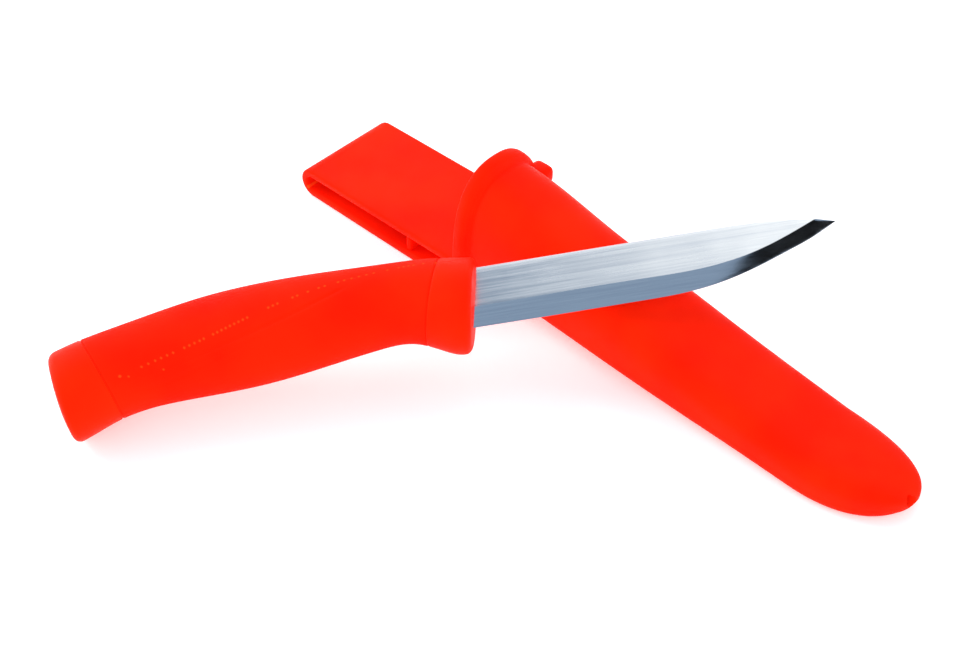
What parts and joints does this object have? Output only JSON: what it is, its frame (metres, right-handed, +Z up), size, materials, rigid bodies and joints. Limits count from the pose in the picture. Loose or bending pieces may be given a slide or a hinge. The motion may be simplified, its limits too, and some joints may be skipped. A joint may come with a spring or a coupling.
{
  "type": "rigging knife",
  "caption": "Fixed-blade rigging knife with a two-part moulded handle, lying across its moulded belt sheath.",
  "frame": {"origin": "centre of the set's footprint, on the surface it lies on", "axes": "+X along the sheath from its belt clip to its drain hole, +Z up out of the surface, +Y completes the frame"},
  "size_m": [0.2176, 0.188, 0.0409],
  "materials": {
    "sheath_plastic": "satin moulded",
    "handle_plastic": "satin moulded",
    "grip_rubber": "matt",
    "blade_steel": "brushed"
  },
  "bodies": {
    "sheath": {"sheath_body": "sheath_plastic"},
    "clip": {"belt_clip": "sheath_plastic"},
    "knife": {"blade": "blade_steel", "handle_core": "handle_plastic", "grip_sleeve": "grip_rubber"}
  },
  "joints": [
    {"name": "knife_lift", "type": "slide", "parent": "sheath", "child": "knife", "axis": [0, 0, 1], "range_m": [0, 0.06]},
    {"name": "clip_flex", "type": "hinge", "parent": "sheath", "child": "clip", "pos_m": [-0.1036, 0.0443, 0.0101], "axis": [0, 1, 0], "range_deg": [0, 6], "stiffness_Nm_per_rad": 4}
  ]
}
